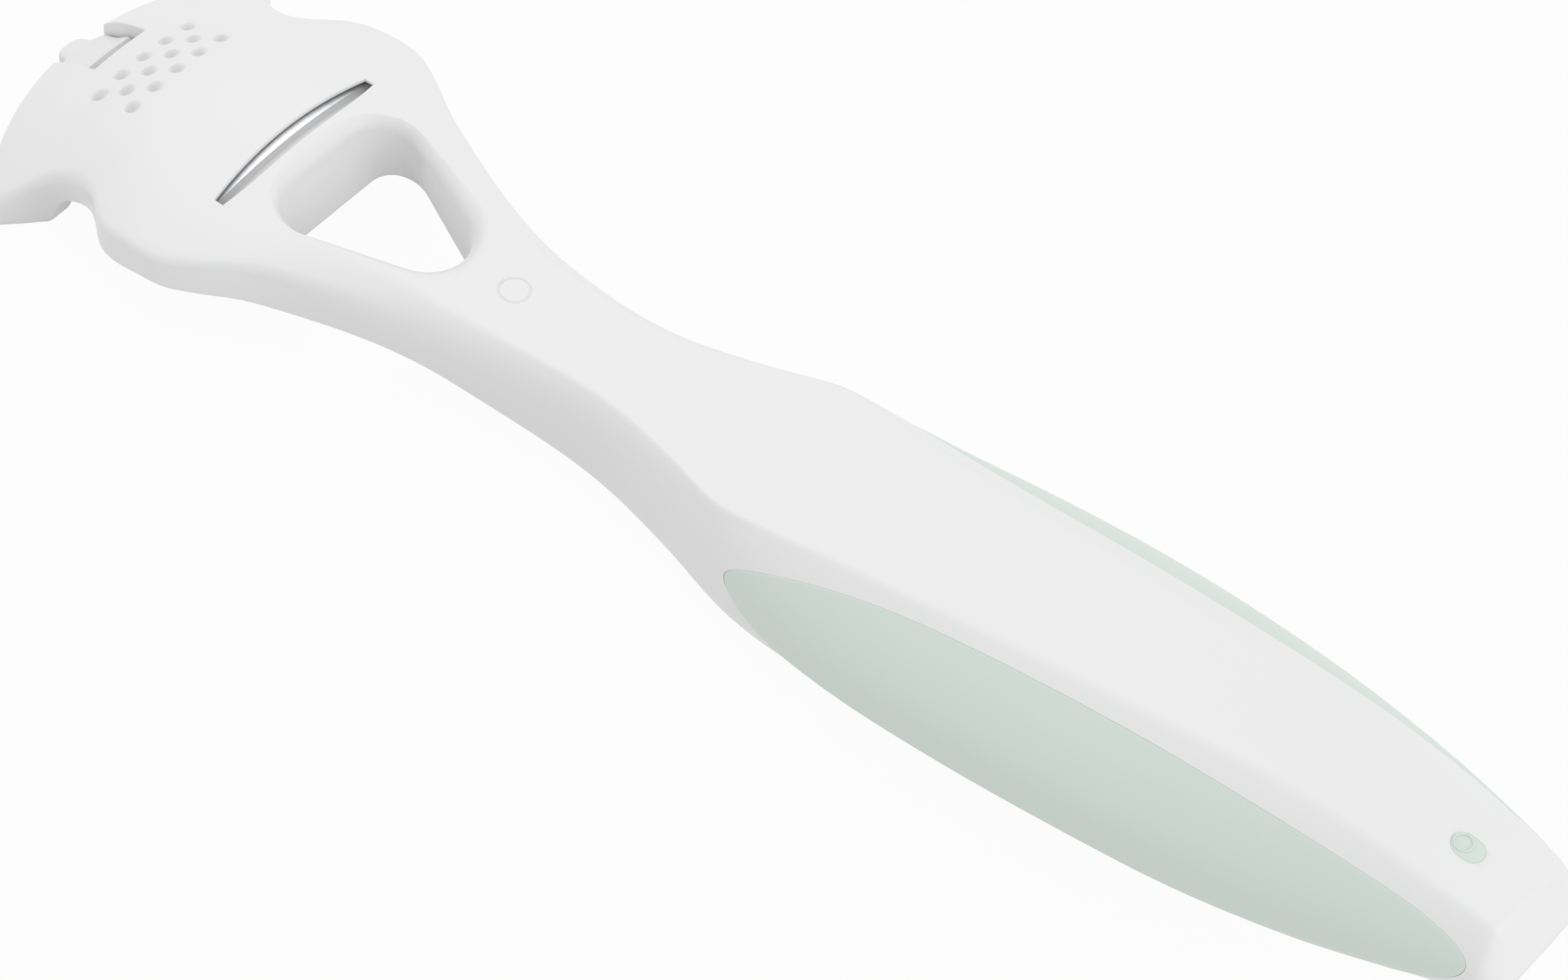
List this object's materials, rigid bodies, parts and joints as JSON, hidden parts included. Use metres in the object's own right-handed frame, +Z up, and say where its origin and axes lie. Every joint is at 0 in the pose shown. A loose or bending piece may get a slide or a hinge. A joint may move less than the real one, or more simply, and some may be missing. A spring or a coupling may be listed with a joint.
{
  "type": "callus shaver",
  "caption": "Hand tool with an arched, scalloped head that holds a bent steel blade under a slot, a pierced neck and a swelling handle with soft side grips.",
  "frame": {"origin": "on the table under the middle of the tool's length, in the middle plane", "axes": "+X from the head to the handle's end, +Y across the tool, +Z up; the tool lies with its cutting face up"},
  "size_m": [0.1602, 0.0366, 0.021],
  "materials": {
    "moulding": "satin",
    "soft_grip": "satin",
    "blade": "polished",
    "holder": "satin"
  },
  "bodies": {
    "root": {"body": "moulding", "grip": "soft_grip", "blade": "blade", "blade_holder": "holder"}
  },
  "joints": []
}
